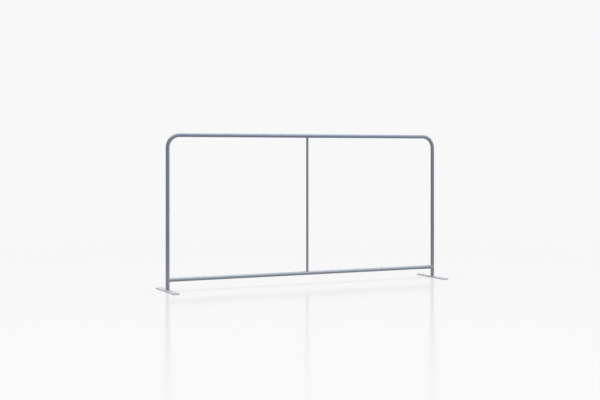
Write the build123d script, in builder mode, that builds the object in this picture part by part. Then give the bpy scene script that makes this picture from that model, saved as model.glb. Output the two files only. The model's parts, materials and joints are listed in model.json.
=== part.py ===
"""Bare tube frame of an advertising barrier.

Two bent end frames, a top and a bottom rail in three tubes each, a thinner centre post and two flat feet.
The rails come apart at plain seams: a ferrule inside each seam is riveted into the outer tube, and a sprung
button on it snaps into the inner tube. The frame stands in the XZ plane, +Z up, and the origin is on the floor
midway between the uprights.
"""
import os
from math import copysign, sqrt

from build123d import *

os.makedirs("parts", exist_ok=True)

# Driving dimensions of the frame, in millimetres
FRAME_WIDTH = 2000.0
FRAME_HEIGHT = 1012.0
BOTTOM_RAIL_Z = 73.0
TUBE_OD = 25.0
TUBE_WALL = 1.5
BEND_RADIUS = 80.0
RAIL_SECTION = 555.0
END_CHAMFER = 0.5

# Fits between pieces
SLIDE_GAP = 0.05
SEAT_GAP = 0.05
LOOSE_GAP = 0.3

# Weld where the bottom stub meets the upright
COPE_GAP = 0.5
WELD_RADIUS = 2.4

# Ferrules, and the rivets that hold them in the outer tubes
FERRULE_LENGTH = 120.0
FERRULE_WALL = 1.5
RIVET_FROM_SEAM = 30.0
RIVET_SHANK_D = 3.2
RIVET_HEAD_D = 6.5
RIVET_HEAD_HEIGHT = 1.3
RIVET_HEAD_ROUND = 0.9
RIVET_BULB_D = 4.6
RIVET_BULB_LENGTH = 2.6

# Snap buttons, measured out from the axis of the tube
BUTTON_FROM_SEAM = 30.0
BUTTON_D = 6.0
BUTTON_PROUD = 2.7
BUTTON_DOME = 1.8
BUTTON_FLANGE_D = 8.4
BUTTON_FLANGE_THICK = 1.0

# Bent leaf spring behind each button
LEAF_THICK = 0.6
LEAF_WIDTH = 7.0
LEAF_BEND_RADIUS = 2.2
LEAF_FLAT = 5.5
LEAF_FIXED_END = 8.0
LEAF_REACH = 38.0

# Centre post with a moulded plug in each end
POST_OD = 16.0
POST_WALL = 1.2
PLUG_COLLAR = 6.0
PLUG_INSERT = 25.0
PEG_D = 8.0
PEG_PAST_WALL = 4.0

# Feet: rubber sheet, steel plate, post and the bush that the upright slides over
PAD_THICK = 1.0
PAD_INSET = 3.0
PAD_HOLE_D = 18.0
PLATE_LENGTH = 360.0
PLATE_WIDTH = 45.0
PLATE_THICK = 6.0
PLATE_CORNER = 4.0
PLATE_CHAMFER = 0.8
FOOT_POST_D = 14.0
BUSH_FLANGE = 2.0
BUSH_HEIGHT = 90.0
BUSH_LEAD_IN = 2.0

# Screws and washer of the feet
BASE_SCREW_D = 8.0
BASE_SCREW_LENGTH = 20.0
BASE_HEAD_D = 16.0
BASE_SOCKET_FLATS = 5.0
BASE_SOCKET_DEPTH = 2.6
TOP_SCREW_D = 6.0
TOP_SCREW_LENGTH = 12.0
TOP_HEAD_D = 10.5
TOP_HEAD_HEIGHT = 3.3
TOP_HEAD_ROUND = 1.8
TOP_SOCKET_FLATS = 4.0
TOP_SOCKET_DEPTH = 1.8
WASHER_D = 18.0
WASHER_THICK = 1.6
THREAD_PAST_END = 3.0

# Places worked out from the dimensions above
TUBE_R = TUBE_OD / 2
TUBE_BORE_R = TUBE_R - TUBE_WALL
UPRIGHT_X = FRAME_WIDTH / 2 - TUBE_R
TOP_RAIL_Z = FRAME_HEIGHT - TUBE_R
INNER_SEAM_X = RAIL_SECTION / 2
OUTER_SEAM_X = INNER_SEAM_X + RAIL_SECTION
PLATE_TOP = PAD_THICK + PLATE_THICK
BUSH_LOW = PLATE_TOP + SEAT_GAP
TUBE_LOW = BUSH_LOW + BUSH_FLANGE + SEAT_GAP
FERRULE_R = TUBE_BORE_R - SLIDE_GAP
FERRULE_BORE_R = FERRULE_R - FERRULE_WALL
FOOT_POST_TOP = BUSH_LOW + BUSH_HEIGHT + LOOSE_GAP
BUTTON_APEX = TUBE_R + BUTTON_PROUD
BUTTON_SHOULDER = sqrt(FERRULE_BORE_R**2 - (BUTTON_FLANGE_D / 2) ** 2) - LOOSE_GAP
BUTTON_BASE = BUTTON_SHOULDER - BUTTON_FLANGE_THICK
LEAF_SEAT = sqrt(FERRULE_BORE_R**2 - (LEAF_WIDTH / 2) ** 2) - SLIDE_GAP

# Each rail: the height of its axis, and which way its buttons point
RAILS = {"top": (TOP_RAIL_Z, -1), "bottom": (BOTTOM_RAIL_Z, 1)}
SEAMS = {
    "far_left": -OUTER_SEAM_X,
    "mid_left": -INNER_SEAM_X,
    "mid_right": INNER_SEAM_X,
    "far_right": OUTER_SEAM_X,
}
SIDES = {"left": -1, "right": 1}
RAIL_TUBES = {
    "left": (-OUTER_SEAM_X, -INNER_SEAM_X),
    "centre": (-INNER_SEAM_X, INNER_SEAM_X),
    "right": (INNER_SEAM_X, OUTER_SEAM_X),
}


def keep(piece, name):
    """Labels a finished piece and writes it under its own name."""
    piece.part.label = name
    export_step(piece.part, f"parts/{name}.step")


def to_centre(seam_x):
    """Direction along X from a seam to the middle of the barrier."""
    return -copysign(1, seam_x)


def button_x(seam_x):
    return seam_x + to_centre(seam_x) * BUTTON_FROM_SEAM


def rivet_x(seam_x):
    return seam_x - to_centre(seam_x) * RIVET_FROM_SEAM


def button_face(rail, seam_x):
    """Plane on the skin of the rail where a button comes out."""
    height, outward = RAILS[rail]
    return Plane(origin=(button_x(seam_x), 0, height + outward * TUBE_R), x_dir=(1, 0, 0), z_dir=(0, 0, outward))


def rivet_face(rail, seam_x):
    """Plane on the back of the rail under a rivet's head."""
    height = RAILS[rail][0]
    return Plane(origin=(rivet_x(seam_x), TUBE_R, height), x_dir=(1, 0, 0), z_dir=(0, 1, 0))


def button_section(rail, seam_x):
    """Plane through a button, local x towards the middle of the barrier and local y out of the tube."""
    height, outward = RAILS[rail]
    inward = to_centre(seam_x)
    return Plane(origin=(button_x(seam_x), 0, height), x_dir=(inward, 0, 0), z_dir=(0, -inward * outward, 0))


def drill_rail(rail, x_low, x_high):
    """Cuts the button and rivet holes that fall on one tube of a rail."""
    for seam_x in SEAMS.values():
        if x_low < button_x(seam_x) < x_high:
            with Locations(button_face(rail, seam_x)):
                Hole(BUTTON_D / 2 + LOOSE_GAP, depth=TUBE_R)
        if x_low < rivet_x(seam_x) < x_high:
            with Locations(rivet_face(rail, seam_x)):
                Hole(RIVET_SHANK_D / 2 + SLIDE_GAP, depth=TUBE_R)


def chamfer_ends(tube, face_count):
    """Breaks the outer edge of the flat ends of a tube."""
    ends = tube.faces().filter_by(GeomType.PLANE).sort_by(SortBy.AREA)[-face_count:]
    chamfer(ends.edges().filter_by(GeomType.CIRCLE).group_by(SortBy.RADIUS)[-1], END_CHAMFER)


# Uprights: one bent tube each, with the top corner and a short leg of the top rail
def make_upright(side):
    foot_x = side * UPRIGHT_X
    seam_x = side * OUTER_SEAM_X
    with BuildPart() as upright:
        with BuildLine() as route:
            FilletPolyline(
                (foot_x, 0, TUBE_LOW),
                (foot_x, 0, TOP_RAIL_Z),
                (seam_x, 0, TOP_RAIL_Z),
                radius=BEND_RADIUS,
            )
        with BuildSketch(Plane(origin=(foot_x, 0, TUBE_LOW))):
            Circle(TUBE_R)
            Circle(TUBE_BORE_R, mode=Mode.SUBTRACT)
        sweep(path=route.wires()[0])
        chamfer_ends(upright, 2)
        drill_rail("top", min(foot_x, seam_x), max(foot_x, seam_x))
    return upright


# Bottom stubs: short tubes coped to the uprights
def make_stub(side):
    foot_x = side * UPRIGHT_X
    seam_x = side * OUTER_SEAM_X
    with BuildPart() as stub:
        with BuildSketch(Plane.YZ.offset(seam_x)):
            with Locations((0, BOTTOM_RAIL_Z)):
                Circle(TUBE_R)
                Circle(TUBE_BORE_R, mode=Mode.SUBTRACT)
        extrude(amount=foot_x - seam_x)
        chamfer_ends(stub, 2)
        drill_rail("bottom", min(foot_x, seam_x), max(foot_x, seam_x))
        with Locations((foot_x, 0, BOTTOM_RAIL_Z)):
            Cylinder(TUBE_R + COPE_GAP, 2 * TUBE_OD, mode=Mode.SUBTRACT)
    return stub


# Welds: a bead along the two half ellipses where stub and upright cross
def make_weld(side):
    centre = (side * UPRIGHT_X, 0, BOTTOM_RAIL_Z)
    cross_plane = Plane(origin=centre, x_dir=(-side, 0, 1), z_dir=(side, 0, 1))
    with BuildPart() as weld:
        with BuildLine(cross_plane):
            bead = EllipticalCenterArc((0, 0), TUBE_R * sqrt(2), TUBE_R, start_angle=-90, arc_size=180)
        with BuildSketch(Plane(origin=bead @ 0, z_dir=bead % 0)):
            Circle(WELD_RADIUS)
        sweep(path=bead)
        # The half on the upright's side is cut to the upright, and its mirror image then fits the stub
        split(bisect_by=cross_plane, keep=Keep.TOP)
        with Locations(centre):
            Cylinder(TUBE_R + SLIDE_GAP, 3 * TUBE_OD, mode=Mode.SUBTRACT)
        mirror(about=cross_plane)
        mirror(about=Plane.XY.offset(BOTTOM_RAIL_Z))
    return weld


for side_name, side in SIDES.items():
    keep(make_upright(side), f"{side_name}_upright")
    keep(make_stub(side), f"{side_name}_rail_stub")
    keep(make_weld(side), f"{side_name}_stub_weld")


# Rails: three equal tubes each, and the middle one takes the peg of the centre post
def make_rail_tube(rail, place):
    height = RAILS[rail][0]
    x_low, x_high = RAIL_TUBES[place]
    with BuildPart() as tube:
        with BuildSketch(Plane.YZ.offset(x_low)):
            with Locations((0, height)):
                Circle(TUBE_R)
                Circle(TUBE_BORE_R, mode=Mode.SUBTRACT)
        extrude(amount=x_high - x_low)
        chamfer_ends(tube, 2)
        drill_rail(rail, x_low, x_high)
        if place == "centre":
            outward = RAILS[rail][1]
            with Locations(Plane(origin=(0, 0, height + outward * TUBE_R), z_dir=(0, 0, outward))):
                Hole(PEG_D / 2 + SLIDE_GAP, depth=TUBE_R)
    return tube


for rail in RAILS:
    for place in RAIL_TUBES:
        keep(make_rail_tube(rail, place), f"{rail}_rail_{place}")


# Ferrules: inner sleeves across the seams
def make_ferrule(rail, seam_x):
    height = RAILS[rail][0]
    with BuildPart() as ferrule:
        with BuildSketch(Plane.YZ.offset(seam_x)):
            with Locations((0, height)):
                Circle(FERRULE_R)
                Circle(FERRULE_BORE_R, mode=Mode.SUBTRACT)
        extrude(amount=FERRULE_LENGTH / 2, both=True)
        chamfer_ends(ferrule, 2)
        with Locations(button_face(rail, seam_x)):
            Hole(BUTTON_D / 2 + 2 * SLIDE_GAP, depth=TUBE_R)
        with Locations(rivet_face(rail, seam_x)):
            Hole(RIVET_SHANK_D / 2 + SLIDE_GAP, depth=TUBE_R)
    return ferrule


# Snap buttons: a domed pin with a flange that stops against the inside of the ferrule
def make_button(rail, seam_x):
    section_plane = button_section(rail, seam_x)
    with BuildPart() as button:
        with BuildSketch(section_plane):
            with BuildLine():
                Polyline(
                    (0, BUTTON_APEX),
                    (0, BUTTON_BASE),
                    (BUTTON_FLANGE_D / 2, BUTTON_BASE),
                    (BUTTON_FLANGE_D / 2, BUTTON_SHOULDER),
                    (BUTTON_D / 2, BUTTON_SHOULDER),
                    (BUTTON_D / 2, BUTTON_APEX - BUTTON_DOME),
                )
                TangentArc((0, BUTTON_APEX), (BUTTON_D / 2, BUTTON_APEX - BUTTON_DOME), tangent=(1, 0))
            make_face()
        revolve(axis=Axis(section_plane.origin, section_plane.y_dir))
    return button


# Leaf springs: a strip bent into a V, one leg on the far wall of the ferrule and one under the button
def make_spring(rail, seam_x):
    seat = -LEAF_SEAT + LEAF_THICK / 2
    under_button = BUTTON_BASE - LEAF_THICK / 2
    with BuildPart() as spring:
        with BuildSketch(button_section(rail, seam_x)):
            with BuildLine():
                FilletPolyline(
                    (LEAF_FIXED_END, seat),
                    (-LEAF_REACH, seat),
                    (-LEAF_FLAT, under_button),
                    (LEAF_FLAT, under_button),
                    radius=LEAF_BEND_RADIUS,
                )
            trace(line_width=LEAF_THICK)
        extrude(amount=LEAF_WIDTH / 2, both=True)
    return spring


for rail in RAILS:
    for seam, seam_x in SEAMS.items():
        keep(make_ferrule(rail, seam_x), f"ferrule_{rail}_{seam}")
        keep(make_button(rail, seam_x), f"button_{rail}_{seam}")
        keep(make_spring(rail, seam_x), f"button_spring_{rail}_{seam}")


# Rivets: one blind rivet on the back of each ferrule, all in one group
RIVET_PLACES = [rivet_face(rail, seam_x) for rail in RAILS for seam_x in SEAMS.values()]
RIVET_DEPTH = TUBE_R - FERRULE_BORE_R + LOOSE_GAP + RIVET_BULB_LENGTH
INTO_TUBE = (Align.CENTER, Align.CENTER, Align.MAX)
OUT_OF_TUBE = (Align.CENTER, Align.CENTER, Align.MIN)

with BuildPart() as rivets:
    with Locations(*RIVET_PLACES):
        Cylinder(RIVET_HEAD_D / 2, 2 * RIVET_HEAD_HEIGHT)
    fillet(rivets.edges().group_by(Axis.Y)[-1], RIVET_HEAD_ROUND)
    with Locations((0, 0, TOP_RAIL_Z), (0, 0, BOTTOM_RAIL_Z)):
        Cylinder(TUBE_R + SLIDE_GAP, FRAME_WIDTH, rotation=(0, 90, 0), mode=Mode.SUBTRACT)
    with Locations(*RIVET_PLACES):
        Cylinder(RIVET_SHANK_D / 2, RIVET_HEAD_HEIGHT / 2, align=OUT_OF_TUBE)
        Cylinder(RIVET_SHANK_D / 2, RIVET_DEPTH, align=INTO_TUBE)
    with Locations(*[face.offset(RIVET_BULB_LENGTH - RIVET_DEPTH) for face in RIVET_PLACES]):
        Cylinder(RIVET_BULB_D / 2, RIVET_BULB_LENGTH, align=INTO_TUBE)
keep(rivets, "ferrule_rivets")


# Centre post: a thinner tube between two moulded plugs that saddle the rails
POST_LOW = BOTTOM_RAIL_Z + TUBE_R + PLUG_COLLAR
POST_HIGH = TOP_RAIL_Z - TUBE_R - PLUG_COLLAR
POST_BORE_R = POST_OD / 2 - POST_WALL

with BuildPart() as centre_post:
    with BuildSketch(Plane.XY.offset(POST_LOW)):
        Circle(POST_OD / 2)
        Circle(POST_BORE_R, mode=Mode.SUBTRACT)
    extrude(amount=POST_HIGH - POST_LOW)
    chamfer_ends(centre_post, 2)
keep(centre_post, "centre_post")


def make_post_plug(rail):
    height, outward = RAILS[rail]
    collar_plane = Plane(origin=(0, 0, height + outward * (TUBE_R + PLUG_COLLAR)), z_dir=(0, 0, -outward))
    with BuildPart() as plug:
        with BuildSketch(collar_plane):
            Circle(POST_OD / 2)
        extrude(amount=PLUG_COLLAR + TUBE_R)
        with Locations((0, 0, height)):
            Cylinder(TUBE_R + SLIDE_GAP, 2 * POST_OD, rotation=(0, 90, 0), mode=Mode.SUBTRACT)
        with BuildSketch(collar_plane):
            Circle(PEG_D / 2)
        extrude(amount=PLUG_COLLAR + TUBE_WALL + PEG_PAST_WALL)
        with BuildSketch(collar_plane):
            Circle(POST_BORE_R - SLIDE_GAP)
        extrude(amount=-PLUG_INSERT)
    return plug


for rail in RAILS:
    keep(make_post_plug(rail), f"post_plug_{rail}")


# Feet
def foot_plane(side, height):
    """Level plane under an upright, centred on its axis."""
    return Plane(origin=(side * UPRIGHT_X, 0, height))


def make_pad(side):
    with BuildPart() as pad:
        with BuildSketch(foot_plane(side, 0)):
            RectangleRounded(PLATE_WIDTH - 2 * PAD_INSET, PLATE_LENGTH - 2 * PAD_INSET, PLATE_CORNER)
            Circle(PAD_HOLE_D / 2, mode=Mode.SUBTRACT)
        extrude(amount=PAD_THICK)
    return pad


def make_plate(side):
    underside = Plane(origin=(side * UPRIGHT_X, 0, PAD_THICK), z_dir=(0, 0, -1))
    with BuildPart() as plate:
        with BuildSketch(foot_plane(side, PAD_THICK)):
            RectangleRounded(PLATE_WIDTH, PLATE_LENGTH, PLATE_CORNER)
        extrude(amount=PLATE_THICK)
        chamfer(plate.faces().sort_by(Axis.Z)[-1].edges(), PLATE_CHAMFER)
        with Locations(underside):
            CounterSinkHole(
                radius=BASE_SCREW_D / 2 + LOOSE_GAP,
                counter_sink_radius=BASE_HEAD_D / 2 + LOOSE_GAP,
                depth=PLATE_THICK,
                counter_sink_angle=90,
            )
    return plate


def make_foot_post(side):
    with BuildPart() as foot_post:
        with BuildSketch(foot_plane(side, PLATE_TOP)):
            Circle(FOOT_POST_D / 2)
        extrude(amount=FOOT_POST_TOP - PLATE_TOP)
        chamfer(foot_post.faces().sort_by(Axis.Z)[-1].edges(), END_CHAMFER)
        with Locations(Plane(origin=(side * UPRIGHT_X, 0, PLATE_TOP), z_dir=(0, 0, -1))):
            Hole(BASE_SCREW_D / 2, depth=BASE_SCREW_LENGTH - PLATE_THICK + THREAD_PAST_END)
        with Locations(foot_plane(side, FOOT_POST_TOP)):
            Hole(TOP_SCREW_D / 2, depth=TOP_SCREW_LENGTH - WASHER_THICK + THREAD_PAST_END)
    return foot_post


def make_base_screw(side):
    head_face = foot_plane(side, PAD_THICK + LOOSE_GAP)
    shank_r = BASE_SCREW_D / 2 - SLIDE_GAP
    with BuildPart() as screw:
        with BuildSketch(head_face):
            Circle(BASE_HEAD_D / 2)
        with BuildSketch(head_face.offset(BASE_HEAD_D / 2 - shank_r)):
            Circle(shank_r)
        loft()
        with BuildSketch(head_face):
            Circle(shank_r)
        extrude(amount=BASE_SCREW_LENGTH)
        with BuildSketch(head_face):
            RegularPolygon(BASE_SOCKET_FLATS / 2, 6, major_radius=False)
        extrude(amount=BASE_SOCKET_DEPTH, mode=Mode.SUBTRACT)
    return screw


def make_bush(side):
    with BuildPart() as bush:
        with BuildSketch(foot_plane(side, BUSH_LOW)):
            Circle(TUBE_R)
        extrude(amount=BUSH_FLANGE)
        with BuildSketch(foot_plane(side, BUSH_LOW + BUSH_FLANGE)):
            Circle(FERRULE_R)
        extrude(amount=BUSH_HEIGHT - BUSH_FLANGE)
        chamfer(bush.faces().sort_by(Axis.Z)[-1].edges(), BUSH_LEAD_IN)
        with Locations(foot_plane(side, BUSH_LOW + BUSH_HEIGHT)):
            Hole(FOOT_POST_D / 2 + SLIDE_GAP, depth=BUSH_HEIGHT)
    return bush


def make_washer(side):
    with BuildPart() as washer:
        with BuildSketch(foot_plane(side, FOOT_POST_TOP)):
            Circle(WASHER_D / 2)
            Circle(TOP_SCREW_D / 2 + LOOSE_GAP, mode=Mode.SUBTRACT)
        extrude(amount=WASHER_THICK)
    return washer


def make_top_screw(side):
    head_low = foot_plane(side, FOOT_POST_TOP + WASHER_THICK)
    with BuildPart() as screw:
        with BuildSketch(head_low):
            Circle(TOP_HEAD_D / 2)
        extrude(amount=TOP_HEAD_HEIGHT)
        fillet(screw.faces().sort_by(Axis.Z)[-1].edges(), TOP_HEAD_ROUND)
        with BuildSketch(head_low.offset(TOP_HEAD_HEIGHT)):
            RegularPolygon(TOP_SOCKET_FLATS / 2, 6, major_radius=False)
        extrude(amount=-TOP_SOCKET_DEPTH, mode=Mode.SUBTRACT)
        with BuildSketch(head_low):
            Circle(TOP_SCREW_D / 2 - SLIDE_GAP)
        extrude(amount=-TOP_SCREW_LENGTH)
    return screw


for side_name, side in SIDES.items():
    keep(make_pad(side), f"{side_name}_foot_pad")
    keep(make_plate(side), f"{side_name}_foot_plate")
    keep(make_foot_post(side), f"{side_name}_foot_post")
    keep(make_base_screw(side), f"{side_name}_base_screw")
    keep(make_bush(side), f"{side_name}_bush")
    keep(make_washer(side), f"{side_name}_retaining_washer")
    keep(make_top_screw(side), f"{side_name}_retaining_screw")

print("button stands", round(BUTTON_APEX - TUBE_R, 2), "mm proud and clears the tube after",
      round(BUTTON_APEX - FERRULE_R, 2), "mm")
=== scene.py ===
# %% [markdown]
# # The bare frame of an advertising barrier
# A barrier of this kind is a light tube frame that carries a stretched fabric sleeve. Here it stands bare:
# two bent uprights, a top and a bottom rail in three tubes each, a slim post in the middle and two flat
# feet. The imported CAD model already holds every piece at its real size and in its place. This lesson gives
# the frame its looks: finer tubes, welds and rivets, and a finish for every surface. Lengths are in metres.

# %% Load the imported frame
import json
import math

import bmesh
import bpy
from mathutils import Matrix, Vector


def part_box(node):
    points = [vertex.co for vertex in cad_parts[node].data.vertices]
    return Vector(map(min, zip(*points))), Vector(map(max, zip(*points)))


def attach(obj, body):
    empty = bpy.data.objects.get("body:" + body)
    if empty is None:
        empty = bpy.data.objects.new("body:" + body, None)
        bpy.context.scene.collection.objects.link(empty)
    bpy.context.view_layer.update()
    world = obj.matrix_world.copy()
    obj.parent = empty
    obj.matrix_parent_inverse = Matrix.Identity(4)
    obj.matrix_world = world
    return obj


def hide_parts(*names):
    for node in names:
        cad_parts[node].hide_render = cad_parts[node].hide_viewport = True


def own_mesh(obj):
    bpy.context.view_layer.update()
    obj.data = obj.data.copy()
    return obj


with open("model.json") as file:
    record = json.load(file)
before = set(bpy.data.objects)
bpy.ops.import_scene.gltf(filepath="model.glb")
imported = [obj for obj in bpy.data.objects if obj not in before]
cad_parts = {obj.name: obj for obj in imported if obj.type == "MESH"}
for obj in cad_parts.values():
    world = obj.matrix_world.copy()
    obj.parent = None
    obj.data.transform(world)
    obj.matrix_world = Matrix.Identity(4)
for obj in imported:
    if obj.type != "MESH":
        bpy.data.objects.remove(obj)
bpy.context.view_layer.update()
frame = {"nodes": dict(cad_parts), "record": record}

# %% [markdown]
# ## Sizes read from the frame
# The box of a node says where its tube runs, so no place is typed in twice. A rail lies along X, so half
# its box's height is the tube's radius and the middle of the box is the tube's axis. Only what a box can't
# say, such as the radius of a bend or the thickness of a wall, is written down here.

# %% Sizes
# A side has its sign along X, and a rail has the sign of the way into the frame along Z.
SIDES = {"left": -1, "right": 1}
RAILS = {"top": -1, "bottom": 1}
SEAMS = ("far_left", "mid_left", "mid_right", "far_right")
PLACES = ("left", "centre", "right")

TUBE_WALL = 0.0015
BEND_RADIUS = 0.080
POST_WALL = 0.0012

rail_low, rail_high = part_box("bottom_rail_centre")
upright_low, upright_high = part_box("right_upright")
TUBE_RADIUS = (rail_high.z - rail_low.z) / 2
BOTTOM_RAIL_Z = (rail_high.z + rail_low.z) / 2
TOP_RAIL_Z = upright_high.z - TUBE_RADIUS
UPRIGHT_X = upright_high.x - TUBE_RADIUS
OUTER_SEAM_X = upright_low.x
TUBE_LOW = upright_low.z
RAIL_Z = {"top": TOP_RAIL_Z, "bottom": BOTTOM_RAIL_Z}
print(f"tube radius {TUBE_RADIUS:.4f}, uprights at {UPRIGHT_X:.4f} either side")
print(f"rails at {BOTTOM_RAIL_Z:.4f} and {TOP_RAIL_Z:.4f} above the floor")

# %% [markdown]
# ## The camera
# The photograph was taken from the left, with a level camera: every upright in it is upright. A level
# camera keeps the horizon at the height of the eye, and the picture is cropped so that this horizon lies
# above its middle. Tilting the camera down would frame it too, but the uprights would lean. A lens shift
# slides the picture over the film without tilting anything.

# %% Camera
IMAGE_WIDTH = 600
IMAGE_HEIGHT = 400
FOCAL_LENGTH_IN_PIXELS = 1110.7
HORIZON_ROW = 152.77
EYE = Vector((-3.2187, -6.7854, 0.8860))
TURN_TO_THE_RIGHT = math.radians(25.0)

camera_data = bpy.data.cameras.new("photo_camera")
camera_data.sensor_fit = "HORIZONTAL"
camera_data.lens = camera_data.sensor_width * FOCAL_LENGTH_IN_PIXELS / IMAGE_WIDTH
camera_data.shift_y = (HORIZON_ROW - IMAGE_HEIGHT / 2) / IMAGE_WIDTH
camera = bpy.data.objects.new("photo_camera", camera_data)
camera.location = EYE
camera.rotation_euler = (math.radians(90), 0, -TURN_TO_THE_RIGHT)
bpy.context.scene.collection.objects.link(camera)
bpy.context.scene.camera = camera
print(f"lens {camera_data.lens:.1f} mm, shift {camera_data.shift_y:.4f}")

# %% [markdown]
# ## Light
# The studio is white all round. The world shows that white to the camera and to everything that reflects
# it, and lights the dull surfaces less, so that two broad lamps can shape the tubes: one overhead, which
# draws a light line along the tops of the rails, and one on the right, which does the same along the
# uprights. Area lamps would do too, but a sun lights both ends of a long frame alike.

# %% World
WHITE = 0.939
WORLD_FILL = 0.24


def grey(level):
    """A neutral colour, as a socket takes it."""
    return (level, level, level, 1)


def seen_directly(tree):
    """One for what the camera sees, in a mirror or through glass too, and zero for plain lighting."""
    rays = tree.nodes.new("ShaderNodeLightPath")
    factor = rays.outputs["Is Camera Ray"]
    for kind in ("Is Glossy Ray", "Is Transmission Ray"):
        either = tree.nodes.new("ShaderNodeMath")
        either.operation = "MAXIMUM"
        tree.links.new(factor, either.inputs[0])
        tree.links.new(rays.outputs[kind], either.inputs[1])
        factor = either.outputs["Value"]
    return factor


def mix_shaders(tree, factor, first, second):
    """A shader that goes from first to second as the factor goes from 0 to 1."""
    mix = tree.nodes.new("ShaderNodeMixShader")
    for source, socket in zip((factor, first, second), mix.inputs):
        tree.links.new(source, socket)
    return mix.outputs["Shader"]


scene = bpy.context.scene
scene.view_settings.view_transform = "Standard"
scene.world = bpy.data.worlds.new("white_studio")
scene.world.use_nodes = True
sky = scene.world.node_tree
sky.nodes.clear()
fill = sky.nodes.new("ShaderNodeBackground")
fill.inputs["Strength"].default_value = WORLD_FILL
backdrop = sky.nodes.new("ShaderNodeBackground")
backdrop.inputs["Color"].default_value = grey(WHITE)
studio = mix_shaders(sky, seen_directly(sky), fill.outputs["Background"], backdrop.outputs["Background"])
sky_output = sky.nodes.new("ShaderNodeOutputWorld")
sky.links.new(studio, sky_output.inputs["Surface"])
print("world fill", WORLD_FILL)

# %% Lamps
OVERHEAD_STRENGTH = 2.9
OVERHEAD_WIDTH = math.radians(80)
OVERHEAD_LEAN = 0.15
SIDE_STRENGTH = 1.5
SIDE_WIDTH = math.radians(90)
SIDE_LIFT = 0.25
SIDE_LEAN = 0.15

view_forward = Vector((math.sin(TURN_TO_THE_RIGHT), math.cos(TURN_TO_THE_RIGHT), 0))
view_right = Vector((view_forward.y, -view_forward.x, 0))
straight_up = Vector((0, 0, 1))


def add_lamp(name, strength, width, towards):
    """A sun with a wide disc, which lights everything evenly and leaves soft shadows."""
    lamp_data = bpy.data.lights.new(name, "SUN")
    lamp_data.energy = strength
    lamp_data.angle = width
    lamp = bpy.data.objects.new(name, lamp_data)
    lamp.rotation_euler = towards.to_track_quat("Z", "Y").to_euler()
    scene.collection.objects.link(lamp)
    print(name, "comes from", tuple(round(value, 2) for value in towards.normalized()))
    return lamp


from_above = straight_up + OVERHEAD_LEAN * view_forward
from_the_right = view_right + SIDE_LIFT * straight_up - SIDE_LEAN * view_forward
add_lamp("overhead_lamp", OVERHEAD_STRENGTH, OVERHEAD_WIDTH, from_above)
side_lamp = add_lamp("side_lamp", SIDE_STRENGTH, SIDE_WIDTH, from_the_right)

# %% [markdown]
# ## Floor
# The floor is only a stage, so it is one large square. The side lamp skips it, because
# that lamp's wide disc would show in its gloss as a bright patch from some sides.

# %% Floor
FLOOR_SIZE = 120.0

floor_bm = bmesh.new()
bmesh.ops.create_grid(floor_bm, x_segments=1, y_segments=1, size=FLOOR_SIZE / 2)
floor_mesh = bpy.data.meshes.new("studio_floor")
floor_bm.to_mesh(floor_mesh)
floor_bm.free()
floor = bpy.data.objects.new("studio_floor", floor_mesh)
scene.collection.objects.link(floor)

lamp_skips = bpy.data.collections.new("side_lamp_skips")
lamp_skips.objects.link(floor)
lamp_skips.collection_objects[0].light_linking.link_state = "EXCLUDE"
side_lamp.light_linking.receiver_collection = lamp_skips

# %% [markdown]
# The floor in the photograph is white and has a slight gloss: the uprights show in it as faint streaks
# that fade with their height, and the shadow under the bottom rail is very pale. A glossy share over a
# dull white gives the streaks. Its roughness sets how quickly they fade, and a Fresnel node lets it grow
# towards a flat line of sight, as varnish does. About two thirds of the dull white is shown to the camera
# as plain white, which leaves the shadow a third of its depth. A few metres away the floor fades into the
# white of the background, so no horizon shows.

# %% Floor paint
FLOOR_WHITE = 0.96
FLOOR_GLOSS = 0.5
FLOOR_SHINE = 0.86
FLOOR_IOR = 1.5
FLOOR_ROUGHNESS = 0.14
FLOOR_PALENESS = 0.65
FLOOR_FADES_FROM = 2.6
FLOOR_FADES_TO = 6.0


def share_of(tree, value, share):
    """A fixed share of a value."""
    node = tree.nodes.new("ShaderNodeMath")
    node.operation = "MULTIPLY"
    node.inputs[1].default_value = share
    tree.links.new(value, node.inputs[0])
    return node.outputs["Value"]


def fade_with_distance(tree):
    """Zero near the frame, rising to one far away wherever the floor is seen directly."""
    distance = tree.nodes.new("ShaderNodeVectorMath")
    distance.operation = "LENGTH"
    tree.links.new(tree.nodes.new("ShaderNodeTexCoord").outputs["Object"], distance.inputs[0])
    fade = tree.nodes.new("ShaderNodeMapRange")
    fade.inputs["From Min"].default_value = FLOOR_FADES_FROM
    fade.inputs["From Max"].default_value = FLOOR_FADES_TO
    tree.links.new(distance.outputs["Value"], fade.inputs["Value"])
    tree.links.new(seen_directly(tree), fade.inputs["To Max"])
    return fade.outputs["Result"]


floor_paint = bpy.data.materials.new("floor_paint")
floor_paint.use_nodes = True
coats = floor_paint.node_tree
coats.nodes.clear()
dull = coats.nodes.new("ShaderNodeBsdfDiffuse")
dull.inputs["Color"].default_value = grey(FLOOR_WHITE)
plain = coats.nodes.new("ShaderNodeEmission")
plain.inputs["Color"].default_value = grey(WHITE)
gloss = coats.nodes.new("ShaderNodeBsdfGlossy")
gloss.inputs["Color"].default_value = grey(FLOOR_SHINE)
gloss.inputs["Roughness"].default_value = FLOOR_ROUGHNESS
varnish = coats.nodes.new("ShaderNodeFresnel")
varnish.inputs["IOR"].default_value = FLOOR_IOR
paleness = share_of(coats, seen_directly(coats), FLOOR_PALENESS)
glossiness = share_of(coats, varnish.outputs["Fac"], FLOOR_GLOSS)
coat = mix_shaders(coats, paleness, dull.outputs["BSDF"], plain.outputs["Emission"])
coat = mix_shaders(coats, glossiness, coat, gloss.outputs["BSDF"])
coat = mix_shaders(coats, fade_with_distance(coats), coat, plain.outputs["Emission"])
floor_output = coats.nodes.new("ShaderNodeOutputMaterial")
coats.links.new(coat, floor_output.inputs["Surface"])
floor_mesh.materials.append(floor_paint)
print("made", floor_paint.name)

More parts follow.
